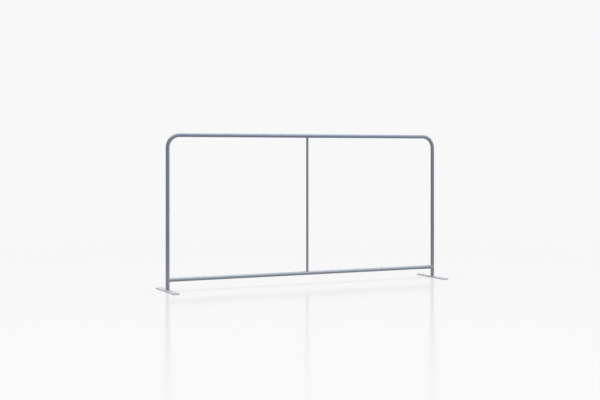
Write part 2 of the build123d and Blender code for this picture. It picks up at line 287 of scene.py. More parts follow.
# %% [markdown]
# ## Building blocks for the finishes
# Every finish is a Principled shader with a few patterns plugged in. Pictures could hold the patterns, but
# noise needs no file and no unwrapping. A pattern starts from coordinates in metres and is stretched by
# how many grains fit in a metre along each axis, so its scale is the real one on every piece.


# %% A finish and its coordinates
def new_finish(name, metallic, roughness):
    """A node material and its Principled shader, with its share of metal and a usual roughness."""
    finish = bpy.data.materials.new(name)
    finish.use_nodes = True
    shader = finish.node_tree.nodes["Principled BSDF"]
    shader.inputs["Metallic"].default_value = metallic
    shader.inputs["Roughness"].default_value = roughness
    return finish, shader


def object_place(finish):
    """Coordinates in the frame's own metres."""
    return finish.node_tree.nodes.new("ShaderNodeTexCoord").outputs["Object"]


def height_above_floor(finish):
    """The height of a point of the frame at rest."""
    tree = finish.node_tree
    split = tree.nodes.new("ShaderNodeSeparateXYZ")
    tree.links.new(object_place(finish), split.inputs["Vector"])
    return split.outputs["Z"]


def stored(finish, layer, output):
    """What a piece carries on its vertices: coordinates as Vector, or one number as Fac."""
    attribute = finish.node_tree.nodes.new("ShaderNodeAttribute")
    attribute.attribute_name = layer
    return attribute.outputs[output]


print("coordinates come from the frame or from a layer on the piece")

# %% Patterns
MOST_OF_A_NOISE = (0.3, 0.7)
MAIN_SHARE = 0.6


def noise(finish, place, grains, detail=3.0):
    """Cloudy noise with so many grains to the metre along each axis."""
    tree = finish.node_tree
    mapping = tree.nodes.new("ShaderNodeMapping")
    mapping.inputs["Scale"].default_value = grains
    tree.links.new(place, mapping.inputs["Vector"])
    texture = tree.nodes.new("ShaderNodeTexNoise")
    texture.inputs["Scale"].default_value = 1.0
    texture.inputs["Detail"].default_value = detail
    tree.links.new(mapping.outputs["Vector"], texture.inputs["Vector"])
    return texture.outputs["Fac"]


def spread(finish, pattern, to=(0.0, 1.0), between=MOST_OF_A_NOISE):
    """Stretches the part of a pattern that lies between two values over a new range."""
    tree = finish.node_tree
    node = tree.nodes.new("ShaderNodeMapRange")
    for name, value in zip(("From Min", "From Max", "To Min", "To Max"), (*between, *to)):
        node.inputs[name].default_value = value
    tree.links.new(pattern, node.inputs["Value"])
    return node.outputs["Result"]


def combine(finish, operation, first, second):
    """Two patterns added or multiplied."""
    tree = finish.node_tree
    node = tree.nodes.new("ShaderNodeMath")
    node.operation = operation
    tree.links.new(first, node.inputs[0])
    tree.links.new(second, node.inputs[1])
    return node.outputs["Value"]


def layered(finish, main, faint):
    """One noise with a fainter one over it."""
    main = spread(finish, main, to=(0, MAIN_SHARE))
    faint = spread(finish, faint, to=(0, 1 - MAIN_SHARE))
    return combine(finish, "ADD", main, faint)


print("most values of a noise lie between", *MOST_OF_A_NOISE)


# %% Colour and relief
def colour_between(finish, factor, first, second):
    """A colour that runs from first to second with a pattern. Each end is a colour or a socket."""
    tree = finish.node_tree
    node = tree.nodes.new("ShaderNodeMix")
    node.data_type = "RGBA"
    tree.links.new(factor, node.inputs["Factor"])
    for name, end in (("A", first), ("B", second)):
        socket = next(s for s in node.inputs if s.name == name and s.type == "RGBA")
        if isinstance(end, tuple):
            socket.default_value = (*end, 1)
        else:
            tree.links.new(end, socket)
    return next(s for s in node.outputs if s.type == "RGBA")


def brighter(colour, times):
    """The same colour, made brighter by a factor."""
    return tuple(times * part for part in colour)


def paint(finish, shader, colour, roughness):
    """Plugs a colour and a roughness into the shader."""
    finish.node_tree.links.new(colour, shader.inputs["Base Color"])
    finish.node_tree.links.new(roughness, shader.inputs["Roughness"])


def relief(finish, shader, height, depth, under=None):
    """Bump of a real depth in metres, on top of another bump if there is one."""
    tree = finish.node_tree
    node = tree.nodes.new("ShaderNodeBump")
    node.inputs["Distance"].default_value = depth
    tree.links.new(height, node.inputs["Height"])
    if under is not None:
        tree.links.new(under, node.inputs["Normal"])
    tree.links.new(node.outputs["Normal"], shader.inputs["Normal"])
    return node.outputs["Normal"]


print("building blocks ready")

# %% [markdown]
# ## Drawn aluminium
# The tubes are aluminium drawn through a die and then anodised: a satin, slightly blue grey with very fine
# lines along the tube. On a bent tube those lines follow the bend, so plain object coordinates won't do.
# Each tube carries a layer called drawn instead, where x runs along the tube and y and z across it, as if
# it were straight. A second layer, worn, is 1 at the ends of a tube: there the bright metal shows where
# tubes rub when they are put together. Near the floor the metal turns paler and less blue. This is partly
# dust and shoe marks, and partly painted bounce light that stands for what the white floor throws up.

# %% Drawn aluminium
BARE_METAL = (0.34, 0.35, 0.375)
# Dust and painted bounce light from the floor: a paler, less blue colour low down, with the heights where it
# starts and where it is full.
DUSTY_AND_BOUNCE_LIT_METAL = (0.225, 0.237, 0.259)
DUST_AND_BOUNCE_TOP = 0.35
DUST_AND_BOUNCE_BOTTOM = 0.06
SCUFF_BRIGHTNESS = 1.3


def dust_and_bounce_light_near_floor(finish, clouds):
    """Dust and painted bounce light from the floor, growing from nothing at the top of that stretch, a
    little uneven.
    """
    low = spread(finish, height_above_floor(finish), between=(DUST_AND_BOUNCE_TOP, DUST_AND_BOUNCE_BOTTOM))
    return combine(finish, "MULTIPLY", low, spread(finish, clouds, to=(0.6, 1.0)))


def rubs_at_ends(finish, place, hairlines):
    """Blotches of fine scratches where the worn layer says so."""
    blotches = noise(finish, place, grains=(90, 190, 190))
    blotches = spread(finish, blotches, to=(0, 0.8), between=(0.42, 0.66))
    scratches = spread(finish, hairlines, to=(0.3, 1.0), between=(0.3, 0.6))
    rubs = combine(finish, "MULTIPLY", blotches, scratches)
    return combine(finish, "MULTIPLY", stored(finish, "worn", "Fac"), rubs)


def drawn_aluminium(name, dark, light):
    """Satin metal with lines along the tube, dust and painted bounce light low down, a few scuffs and rubbed
    ends.
    """
    finish, shader = new_finish(name, metallic=1.0, roughness=0.36)
    place = stored(finish, "drawn", "Vector")
    lines = noise(finish, place, grains=(7, 900, 900))
    hairlines = noise(finish, place, grains=(25, 3600, 3600), detail=1.0)
    clouds = noise(finish, place, grains=(14, 30, 30))
    etch = noise(finish, place, grains=(3200, 3200, 3200), detail=1.0)
    scuffs = noise(finish, place, grains=(60, 420, 420), detail=1.0)
    scuffs = spread(finish, scuffs, to=(0, 0.35), between=(0.70, 0.74))
    both = layered(finish, lines, clouds)
    tint = colour_between(finish, both, dark, light)
    # Paler and less blue towards the floor: dust, and painted bounce light from the floor.
    tint = colour_between(finish, dust_and_bounce_light_near_floor(finish, clouds), tint, DUSTY_AND_BOUNCE_LIT_METAL)
    tint = colour_between(finish, scuffs, tint, brighter(light, SCUFF_BRIGHTNESS))
    tint = colour_between(finish, rubs_at_ends(finish, place, hairlines), tint, BARE_METAL)
    paint(finish, shader, tint, roughness=spread(finish, both, to=(0.31, 0.41), between=(0, 1)))
    matt = relief(finish, shader, etch, depth=0.000004)
    fine = relief(finish, shader, hairlines, depth=0.000003, under=matt)
    relief(finish, shader, lines, depth=0.000012, under=fine)
    return finish


TUBE_FINISH = drawn_aluminium(
    "tube_aluminium_finish", dark=(0.157, 0.173, 0.208), light=(0.195, 0.212, 0.253)
)
POST_FINISH = drawn_aluminium(
    "post_aluminium_finish", dark=(0.169, 0.178, 0.203), light=(0.207, 0.215, 0.242)
)
print("made", TUBE_FINISH.name, "and", POST_FINISH.name)

# %% [markdown]
# ## Making a piece
# A piece is a bmesh that becomes an object at the origin, with its place in its mesh. It rides on a CAD
# body, so it moves when that body does, and the CAD node that it replaces is hidden. Smooth shading with
# sharp edges at real corners suits turned and drawn metal.

# %% Turn a bmesh into a piece
SHARP_CORNER = math.radians(40)


def shade(piece):
    """Smooth faces, with sharp edges at real corners."""
    piece.data.shade_smooth()
    piece.data.set_sharp_from_angle(angle=SHARP_CORNER)


def add_piece(name, bm, finish, body, node):
    """A new object with its finish, which rides on a body and hides the CAD node that it replaces."""
    mesh = bpy.data.meshes.new(name)
    bm.to_mesh(mesh)
    bm.free()
    mesh.materials.append(finish)
    piece = bpy.data.objects.new(name, mesh)
    scene.collection.objects.link(piece)
    shade(piece)
    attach(piece, body)
    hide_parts(node)
    return piece


def report(piece):
    """Says what came out."""
    print(piece.name, len(piece.data.polygons), "faces")


print("corners over", round(math.degrees(SHARP_CORNER)), "degrees stay sharp")

# %% [markdown]
# ## Tubes
# A curve with a round bevel would give a tube too, but not its wall or its rims. So a tube starts as one
# open ring. Extruding the ring's edges carries it along a straight run, and a spin carries it round a
# bend, so a bent upright is one unbroken skin.

# %% Tube steps
TUBE_SIDES = 64
BEND_STEPS = 24


def open_ring(radius, centre, along):
    """A new bmesh with one ring of edges about a point, square to a direction."""
    bm = bmesh.new()
    turn = Vector((0, 0, 1)).rotation_difference(Vector(along)).to_matrix().to_4x4()
    place = Matrix.Translation(centre) @ turn
    bmesh.ops.create_circle(bm, cap_ends=False, radius=radius, segments=TUBE_SIDES, matrix=place)
    return bm, bm.edges[:]


def run_straight(bm, ring, step):
    """Extrudes a ring by one step and returns the new ring."""
    made = bmesh.ops.extrude_edge_only(bm, edges=ring)["geom"]
    verts = [part for part in made if isinstance(part, bmesh.types.BMVert)]
    bmesh.ops.translate(bm, verts=verts, vec=step)
    return [part for part in made if isinstance(part, bmesh.types.BMEdge)]


def run_round(bm, ring, centre, axis, angle):
    """Spins a ring round a bend and returns the new ring."""
    corners = list(dict.fromkeys(vert for edge in ring for vert in edge.verts))
    made = bmesh.ops.spin(bm, geom=corners + ring, cent=centre, axis=axis, angle=angle, steps=BEND_STEPS)
    return [part for part in made["geom_last"] if isinstance(part, bmesh.types.BMEdge)]


def run_to(bm, ring, start_x, stations):
    """Carries a ring along X, with a new ring at each station."""
    for before, station in zip((start_x, *stations), stations):
        ring = run_straight(bm, ring, (station - before, 0, 0))


def run_along(bm, ring, points, radius):
    """Carries a ring along straight runs, with a bend of one radius at each corner."""
    here = points[0]
    for corner, after in zip(points[1:], points[2:]):
        into = (corner - here).normalized()
        out = (after - corner).normalized()
        turn = into.angle(out)
        axis = into.cross(out).normalized()
        start = corner - radius * math.tan(turn / 2) * into
        ring = run_straight(bm, ring, start - here)
        ring = run_round(bm, ring, start + radius * axis.cross(into), axis, turn)
        here = corner + radius * math.tan(turn / 2) * out
    return run_straight(bm, ring, points[-1] - here)


print("a tube has", TUBE_SIDES, "sides and", BEND_STEPS, "steps round a bend")

# %% [markdown]
# Solidify then gives the skin its wall, inwards, and a small bevel breaks the sharp rims, as a file does
# after sawing. The seams between the rail tubes show because of it. A ring close to each rim keeps the
# smooth shading of the bevel from spreading along the tube, and another one, a few millimetres in, is
# where the wear at the end fades out.

# %% Walls, rims and layers
RIM_BEVEL = 0.0004
RIM_CORNER = math.radians(60)
CLOSE_TO_RIM = 0.0008
WORN_LENGTH = 0.004


def sharp_edges(bm):
    """The edges where two faces meet at a steep angle."""
    return [edge for edge in bm.edges if edge.calc_face_angle() > RIM_CORNER]


def round_edges(bm, edges, size, segments):
    """Bevels edges into a round of so many steps."""
    bmesh.ops.bevel(
        bm, geom=edges, offset=size, offset_type="OFFSET", segments=segments,
        profile=0.5, affect="EDGES", material=-1,
    )


def give_wall(bm, wall):
    """Thickens a skin inwards and breaks its rims."""
    bmesh.ops.recalc_face_normals(bm, faces=bm.faces[:])
    bmesh.ops.solidify(bm, geom=bm.faces[:], thickness=wall)
    round_edges(bm, sharp_edges(bm), size=RIM_BEVEL, segments=3)


def mark_drawn(piece, unroll):
    """Stores where each vertex would be on the straight tube, for the finish."""
    layer = piece.data.attributes.new("drawn", "FLOAT_VECTOR", "POINT")
    for vert, cell in zip(piece.data.vertices, layer.data):
        cell.vector = unroll(vert.co)


def mark_worn(piece, share):
    """Stores how worn each vertex is, from 0 to 1."""
    layer = piece.data.attributes.new("worn", "FLOAT", "POINT")
    for vert, cell in zip(piece.data.vertices, layer.data):
        cell.value = min(1.0, max(0.0, share(vert.co)))


print("rims are broken by", RIM_BEVEL)

# %% [markdown]
# Buttons, rivets and the pegs of the post sit in round holes. A hole in a curved wall is easiest as a cut:
# a Boolean modifier takes a drill-shaped cutter away and is applied at once. Extra rings beside each hole
# keep the faces that it breaks short, so the long faces stay clean.

# %% Cutting holes
DRILL_SIDES = 48
BUTTON_HOLE = 0.0033
PEG_HOLE = 0.00405
RIVET_HOLE = 0.00165
RIVET_FROM_SEAM = 0.030
RING_BESIDE_HOLE = 0.006

inner_seam_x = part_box("top_rail_centre")[1].x
RIVET_X = [
    side * (seam_x + RIVET_FROM_SEAM) for side in SIDES.values() for seam_x in (inner_seam_x, OUTER_SEAM_X)
]


def cut_away(piece, cutter_bm):
    """Takes a closed shape out of a piece."""
    cutter_mesh = bpy.data.meshes.new("cutter")
    cutter_bm.to_mesh(cutter_mesh)
    cutter_bm.free()
    cutter = bpy.data.objects.new("cutter", cutter_mesh)
    scene.collection.objects.link(cutter)
    cut = piece.modifiers.new("cut", "BOOLEAN")
    cut.operation = "DIFFERENCE"
    cut.solver = "EXACT"
    cut.object = cutter
    whole = piece.data
    evaluated = piece.evaluated_get(bpy.context.evaluated_depsgraph_get())
    piece.data = bpy.data.meshes.new_from_object(evaluated)
    piece.modifiers.clear()
    bpy.data.objects.remove(cutter)
    bpy.data.meshes.remove(cutter_mesh)
    bpy.data.meshes.remove(whole)
    shade(piece)


def drill(bm, radius, low, high):
    """Adds a straight drill from one point to another."""
    low, high = Vector(low), Vector(high)
    turn = Vector((0, 0, 1)).rotation_difference(high - low).to_matrix().to_4x4()
    bmesh.ops.create_cone(
        bm, cap_ends=True, segments=DRILL_SIDES, radius1=radius, radius2=radius,
        depth=(high - low).length, matrix=Matrix.Translation((low + high) / 2) @ turn,
    )


def drill_for_rivet(bm, rivet_x, axis_z):
    """Adds a drill through the back wall of a rail."""
    drill(bm, RIVET_HOLE, (rivet_x, 0, axis_z), (rivet_x, 2 * TUBE_RADIUS, axis_z))


print("button holes", 2 * BUTTON_HOLE, "peg holes", 2 * PEG_HOLE, "and rivet holes", 2 * RIVET_HOLE)

# %% [markdown]
# Each upright is one tube: up from the foot, round the top corner and along the top to the first seam. Its
# drawn layer is worked out by unrolling the bend, so that the lines in the metal turn the corner with it.
# Its foot is pushed over a bush and kicked now and then, so the wear reaches further up there.

# %% Uprights
FOOT_WORN_LENGTH = 0.030


def unroll_upright(side):
    """How to find a point of an upright on the straight tube that it was bent from."""
    corner = Vector((side * (UPRIGHT_X - BEND_RADIUS), 0, TOP_RAIL_Z - BEND_RADIUS))

    def unroll(point):
        outward = side * (point.x - corner.x)
        upward = point.z - corner.z
        if upward <= 0:
            return (upward, point.y, outward - BEND_RADIUS)
        if outward <= 0:
            return (BEND_RADIUS * math.pi / 2 - outward, point.y, upward - BEND_RADIUS)
        turned = math.atan2(upward, outward)
        return (BEND_RADIUS * turned, point.y, math.hypot(upward, outward) - BEND_RADIUS)

    return unroll


def make_upright(side_name, side):
    """A bent tube from its open foot to the first seam of the top rail."""
    foot = Vector((side * UPRIGHT_X, 0, TUBE_LOW))
    corner = Vector((side * UPRIGHT_X, 0, TOP_RAIL_Z))
    seam = Vector((side * OUTER_SEAM_X, 0, TOP_RAIL_Z))
    above_foot = foot + Vector((0, 0, FOOT_WORN_LENGTH))
    rivet_x = side * (OUTER_SEAM_X + RIVET_FROM_SEAM)
    past_bend = Vector((rivet_x + side * RING_BESIDE_HOLE, 0, TOP_RAIL_Z))
    bm, ring = open_ring(TUBE_RADIUS, foot, along=(0, 0, 1))
    ring = run_straight(bm, ring, (0, 0, CLOSE_TO_RIM))
    ring = run_straight(bm, ring, (0, 0, FOOT_WORN_LENGTH - CLOSE_TO_RIM))
    ring = run_along(bm, ring, (above_foot, corner, past_bend), BEND_RADIUS)
    past_rivet = rivet_x - side * RING_BESIDE_HOLE
    near_seam = (seam.x + side * WORN_LENGTH, seam.x + side * CLOSE_TO_RIM, seam.x)
    run_to(bm, ring, past_bend.x, (past_rivet, *near_seam))
    give_wall(bm, TUBE_WALL)
    name = f"{side_name}_upright"
    piece = add_piece(f"{name}_tube", bm, TUBE_FINISH, "frame", name)
    rivet_drill = bmesh.new()
    drill_for_rivet(rivet_drill, rivet_x, TOP_RAIL_Z)
    cut_away(piece, rivet_drill)
    mark_drawn(piece, unroll_upright(side))
    mark_worn(piece, lambda point: max(
        1 - (point.z - foot.z) / FOOT_WORN_LENGTH, 1 - abs(point.x - seam.x) / WORN_LENGTH
    ))
    return piece


for side_name, side in SIDES.items():
    report(make_upright(side_name, side))

# %% [markdown]
# Each rail is three equal tubes, end to end. One function makes all six, with a hole for every button,
# rivet and peg that falls on the tube at hand, so no tube needs a list of its own.


# %% Rails
def button_middle(rail, seam):
    """Where along X a button stands."""
    low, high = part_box(f"button_{rail}_{seam}")
    return (low.x + high.x) / 2


def make_rail_tube(rail, place):
    """One straight tube of a rail, with its holes."""
    name = f"{rail}_rail_{place}"
    low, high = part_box(name)
    axis_z = RAIL_Z[rail]
    buttons = (button_middle(rail, seam) for seam in SEAMS)
    holes = {button_x: BUTTON_HOLE for button_x in buttons if low.x < button_x < high.x}
    if place == "centre":
        holes[0.0] = PEG_HOLE
    rivets_here = [rivet_x for rivet_x in RIVET_X if low.x < rivet_x < high.x]
    beside_holes = sorted(
        x + beside for x in (*holes, *rivets_here) for beside in (-RING_BESIDE_HOLE, RING_BESIDE_HOLE)
    )
    near_start = (low.x + CLOSE_TO_RIM, low.x + WORN_LENGTH)
    near_end = (high.x - WORN_LENGTH, high.x - CLOSE_TO_RIM, high.x)
    bm, ring = open_ring(TUBE_RADIUS, (low.x, 0, axis_z), along=(1, 0, 0))
    run_to(bm, ring, low.x, (*near_start, *beside_holes, *near_end))
    give_wall(bm, TUBE_WALL)
    piece = add_piece(f"{name}_tube", bm, TUBE_FINISH, "frame", name)
    drills = bmesh.new()
    for hole_x, radius in holes.items():
        drill(drills, radius, (hole_x, 0, axis_z), (hole_x, 0, axis_z + RAILS[rail] * 2 * TUBE_RADIUS))
    for rivet_x in rivets_here:
        drill_for_rivet(drills, rivet_x, axis_z)
    cut_away(piece, drills)
    mark_drawn(piece, lambda point: (point.x, point.y, point.z - axis_z))
    mark_worn(piece, lambda point: 1 - min(point.x - low.x, high.x - point.x) / WORN_LENGTH)
    return piece


for rail in RAILS:
    for place in PLACES:
        report(make_rail_tube(rail, place))

# %% [markdown]
# At each end the bottom rail is a short stub, cut to a saddle so that it fits round the upright, and
# welded on. The same cutter that drills a hole cuts the saddle, if the drill is as wide as the upright.

# %% Stubs
COPE_GAP = 0.0005


def make_stub(side_name, side):
    """A short tube from the last seam to the upright, cut to a saddle there."""
    name = f"{side_name}_rail_stub"
    seam_x = side * OUTER_SEAM_X
    rivet_x = side * (OUTER_SEAM_X + RIVET_FROM_SEAM)
    beside = side * RING_BESIDE_HOLE
    axis_x = side * UPRIGHT_X
    bm, ring = open_ring(TUBE_RADIUS, (seam_x, 0, BOTTOM_RAIL_Z), along=(1, 0, 0))
    near_seam = (seam_x + side * CLOSE_TO_RIM, seam_x + side * WORN_LENGTH)
    run_to(bm, ring, seam_x, (*near_seam, rivet_x - beside, rivet_x + beside, axis_x))
    give_wall(bm, TUBE_WALL)
    piece = add_piece(f"{name}_tube", bm, TUBE_FINISH, "frame", name)
    drills = bmesh.new()
    below, above = (BOTTOM_RAIL_Z + reach for reach in (-2 * TUBE_RADIUS, 2 * TUBE_RADIUS))
    drill(drills, TUBE_RADIUS + COPE_GAP, (axis_x, 0, below), (axis_x, 0, above))
    drill_for_rivet(drills, rivet_x, BOTTOM_RAIL_Z)
    cut_away(piece, drills)
    mark_drawn(piece, lambda point: (point.x, point.y, point.z - BOTTOM_RAIL_Z))
    mark_worn(piece, lambda point: 1 - abs(point.x - seam_x) / WORN_LENGTH)
    return piece


for side_name, side in SIDES.items():
    report(make_stub(side_name, side))

# %% [markdown]
# The post in the middle is a thinner tube of the same metal, so the tube steps make it too. It needs no
# holes, because the plugs in its ends carry the pegs, and its drawn layer runs the lines up and down.

# %% Post
post_low, post_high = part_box("centre_post")
POST_RADIUS = (post_high.x - post_low.x) / 2
post_bm, post_ring = open_ring(POST_RADIUS, (0, 0, post_low.z), along=(0, 0, 1))
at_each_end = (CLOSE_TO_RIM, WORN_LENGTH - CLOSE_TO_RIM)
between_ends = post_high.z - post_low.z - 2 * WORN_LENGTH
for step in (*at_each_end, between_ends, *reversed(at_each_end)):
    post_ring = run_straight(post_bm, post_ring, (0, 0, step))
give_wall(post_bm, POST_WALL)
post = add_piece("centre_post_tube", post_bm, POST_FINISH, "frame", "centre_post")
mark_drawn(post, lambda point: (point.z, point.x, point.y))
mark_worn(post, lambda point: 1 - min(point.z - post_low.z, post_high.z - point.z) / WORN_LENGTH)
report(post)

# %% [markdown]
# ## Weld beads
# A weld is bright where it was brushed clean, with a faint haze and fine spots, so its finish is one cloudy
# noise for the colour and a finer one for the roughness and the relief.


# %% Weld finish
def welded_aluminium():
    """Bright metal with a faint haze."""
    finish, shader = new_finish("weld_aluminium_finish", metallic=1.0, roughness=0.38)
    place = object_place(finish)
    spots = noise(finish, place, grains=(700, 700, 700))
    haze = noise(finish, place, grains=(90, 90, 90))
    haze = spread(finish, haze, between=(0.35, 0.65))
    tint = colour_between(finish, haze, first=(0.29, 0.30, 0.335), second=(0.40, 0.41, 0.44))
    paint(finish, shader, tint, roughness=spread(finish, spots, to=(0.30, 0.48)))
    relief(finish, shader, spots, depth=0.00003)
    return finish


WELD_FINISH = welded_aluminium()
print("made", WELD_FINISH.name)

# %% [markdown]
# A bead is a row of overlapping puddles, so it looks like a stack of tilted coins. Bump could draw them,
# but the bead stands out from the tubes, so they are modelled. The bead follows the line where two equal
# tubes cross: two half ellipses that meet at the sides. Rings are set along that line, each a little
# larger or smaller than the last, with its crown pulled forward, and bridged into one closed bead.

# %% Weld beads
BEAD_RADIUS = 0.0023
BEAD_FLATNESS = 0.8
BEAD_PUDDLES = 62
RINGS_PER_PUDDLE = 5
BEAD_RINGS = BEAD_PUDDLES * RINGS_PER_PUDDLE
RING_TURN = 2 * math.pi / BEAD_RINGS
BEAD_SIDES = 14
PUDDLE_DEPTH = 0.16
PUDDLE_LEAN = 0.0007
CORNER_EASE = 0.16


def bead_point(side, index):
    """Where a ring stands on the crossing line, and the way out of the metal there."""
    turn = index * RING_TURN
    reach = math.sqrt(math.sin(turn) ** 2 + CORNER_EASE ** 2)
    offset = Vector((-side * reach, -math.cos(turn), math.sin(turn)))
    # The outward directions of both tubes, added up.
    outward = Vector((-side * reach, -2 * math.cos(turn), math.sin(turn))).normalized()
    return Vector((side * UPRIGHT_X, 0, BOTTOM_RAIL_Z)) + TUBE_RADIUS * offset, outward


def bead_ring(bm, side, index):
    """One ring of the bead, as large as its place in a puddle asks, with its crown pulled forward."""
    centre, outward = bead_point(side, index)
    before, after = (bead_point(side, beside)[0] for beside in (index - 1, index + 1))
    ahead = (after - before).normalized()
    sideways = ahead.cross(outward).normalized()
    outward = sideways.cross(ahead)
    radius = BEAD_RADIUS * (1 - PUDDLE_DEPTH * (index % RINGS_PER_PUDDLE / RINGS_PER_PUDDLE))
    place = Matrix((outward * BEAD_FLATNESS, sideways, ahead)).transposed().to_4x4()
    place.translation = centre
    edge_count = len(bm.edges)
    made = bmesh.ops.create_circle(bm, cap_ends=False, radius=radius, segments=BEAD_SIDES, matrix=place)
    for vert in made["verts"]:
        crown = (vert.co - centre).dot(outward) / BEAD_RADIUS
        vert.co += ahead * PUDDLE_LEAN * crown
    bm.edges.ensure_lookup_table()
    return bm.edges[edge_count:]


def make_weld(side_name, side):
    """A closed bead round the saddle of a stub."""
    bm = bmesh.new()
    rings = [bead_ring(bm, side, index) for index in range(BEAD_RINGS)]
    for index, ring in enumerate(rings):
        bmesh.ops.bridge_loops(bm, edges=rings[index - 1] + ring)
    bmesh.ops.recalc_face_normals(bm, faces=bm.faces[:])
    name = f"{side_name}_stub_weld"
    return add_piece(f"{name}_bead", bm, WELD_FINISH, "frame", name)


for side_name, side in SIDES.items():
    report(make_weld(side_name, side))

# %% [markdown]
# ## Rivets
# An inner sleeve joins two tubes at each seam, and one blind rivet on the back holds it in the outer tube.
# Rivets are plain aluminium, a little brighter than the anodised tube, with a fine mottle from the tool.


# %% Rivet finish
def rivet_aluminium():
    """Plain mottled metal."""
    finish, shader = new_finish("rivet_aluminium_finish", metallic=1.0, roughness=0.3)
    spots = noise(finish, object_place(finish), grains=(1400, 1400, 1400))
    mottle = spread(finish, spots, between=(0.35, 0.65))
    tint = colour_between(finish, mottle, first=(0.27, 0.28, 0.30), second=(0.40, 0.41, 0.43))
    paint(finish, shader, tint, roughness=spread(finish, spots, to=(0.24, 0.42)))
    relief(finish, shader, spots, depth=0.00001)
    return finish


RIVET_FINISH = rivet_aluminium()
print("made", RIVET_FINISH.name)

# %% [markdown]
# A blind rivet's head is a low dome with a hole in the middle, where its steel pin broke off below the
# rim, and inside the sleeve the pin has swelled its shank to a bulb. Turned parts like this are quickest as
# half a section that is spun once round an axis. Its round stretches are arcs: part of an ellipse for the
# bulb, part of a circle for the dome. A skirt below the head reaches into the curved tube, so no gap shows
# under it.

# %% Half a rivet
ARC_STEPS = 8
SHANK_RADIUS = 0.0016
BULB_RADIUS = 0.0023
BULB_HALF_HEIGHT = 0.0013
BULB_DEPTH = 0.00465
HEAD_RADIUS = 0.00325
HEAD_RIM = 0.0003
SKIRT_DEPTH = 0.0006
DOME_RADIUS = 0.0052
HOLLOW_RADIUS = 0.0012
# From the rim of the hollow, down its wall and over the broken end of the pin.
HOLLOW = [(0.0010, 0.0012), (0.00095, 0.0006), (0.0006, 0.0007), (0, 0.00065)]


def arc(centre_height, across, up, start, end):
    """Points on an ellipse about the axis, each given by its angle from the top."""
    angles = [start + (end - start) * step / ARC_STEPS for step in range(ARC_STEPS + 1)]
    return [(across * math.sin(angle), centre_height + up * math.cos(angle)) for angle in angles]


def rivet_section():
    """Half a rivet: the bulb, the shank and skirt, and the dome with its hollow middle."""
    shoulder = math.asin(SHANK_RADIUS / BULB_RADIUS)
    bulb = arc(-BULB_DEPTH, BULB_RADIUS, BULB_HALF_HEIGHT, math.pi, shoulder)
    skirt = [(SHANK_RADIUS, -SKIRT_DEPTH), (HEAD_RADIUS, -SKIRT_DEPTH)]
    rim, lip = (math.asin(radius / DOME_RADIUS) for radius in (HEAD_RADIUS, HOLLOW_RADIUS))
    dome = arc(HEAD_RIM - DOME_RADIUS * math.cos(rim), DOME_RADIUS, DOME_RADIUS, rim, lip)
    return bulb + skirt + dome + HOLLOW


print("half a rivet has", len(rivet_section()), "points")

# %% Rivets
SPIN_STEPS = 40
MERGE_DISTANCE = 0.000001


def spin_section(bm, section, place):
    """Spins half a section, given as radius and height, once round the upward axis of a place."""
    verts = [bm.verts.new(place @ Vector((radius, 0, height))) for radius, height in section]
    edges = [bm.edges.new(pair) for pair in zip(verts, verts[1:])]
    axis = place.to_3x3() @ Vector((0, 0, 1))
    bmesh.ops.spin(
        bm, geom=verts + edges, cent=place.translation, axis=axis, angle=2 * math.pi,
        steps=SPIN_STEPS, use_merge=True,
    )
    bmesh.ops.remove_doubles(bm, verts=bm.verts[:], dist=MERGE_DISTANCE)
    bmesh.ops.recalc_face_normals(bm, faces=bm.faces[:])


rivet_bm = bmesh.new()
to_the_back = Matrix.Rotation(-math.pi / 2, 4, "X")
for rivet_x in RIVET_X:
    for axis_z in RAIL_Z.values():
        on_the_back = Matrix.Translation((rivet_x, TUBE_RADIUS, axis_z)) @ to_the_back
        spin_section(rivet_bm, rivet_section(), on_the_back)
rivets = add_piece("blind_rivets", rivet_bm, RIVET_FINISH, "frame", "ferrule_rivets")
report(rivets)

# %% [markdown]
# ## Leaf springs
# Behind each button lies a strip of spring steel, blued by its heat treatment and rolled lengthwise, so its
# finish is a dark blue grey with lines along X.


# %% Spring finish
def spring_steel():
    """Blued strip with lines along it."""
    finish, shader = new_finish("spring_steel_finish", metallic=1.0, roughness=0.3)
    lines = noise(finish, object_place(finish), grains=(30, 2400, 2400))
    streaks = spread(finish, lines)
    tint = colour_between(finish, streaks, first=(0.10, 0.12, 0.19), second=(0.20, 0.22, 0.28))
    paint(finish, shader, tint, roughness=spread(finish, lines, to=(0.24, 0.38)))
    relief(finish, shader, lines, depth=0.000004)
    return finish


SPRING_FINISH = spring_steel()
print("made", SPRING_FINISH.name)

# %% [markdown]
# The strip is bent back on itself, with one leg on the far wall of the sleeve and one under the button.
# The tube steps make it too, from a flat rectangle instead of a ring: straight runs, a hairpin and a slight
# bend. When its button is pressed the legs close towards the wall it lies on.

# %% Leaf springs
LEAF_THICK = 0.0006
LEAF_WIDTH = 0.007
LEAF_BEND = 0.0022
LEAF_FIXED_END = 0.008
LEAF_REACH = 0.038
LEAF_FLAT = 0.0055
LEAF_EDGE = 0.0001


def leaf_route(button_x, wall_z, button_z):
    """The corners of the strip's middle line, from its fixed end to the end under the button."""
    inward = -math.copysign(1, button_x)
    half = math.copysign(LEAF_THICK / 2, button_z - wall_z)
    corners = (
        (LEAF_FIXED_END, wall_z + half),
        (-LEAF_REACH, wall_z + half),
        (-LEAF_FLAT, button_z - half),
        (LEAF_FLAT, button_z - half),
    )
    return [Vector((button_x + inward * along, 0, height)) for along, height in corners]


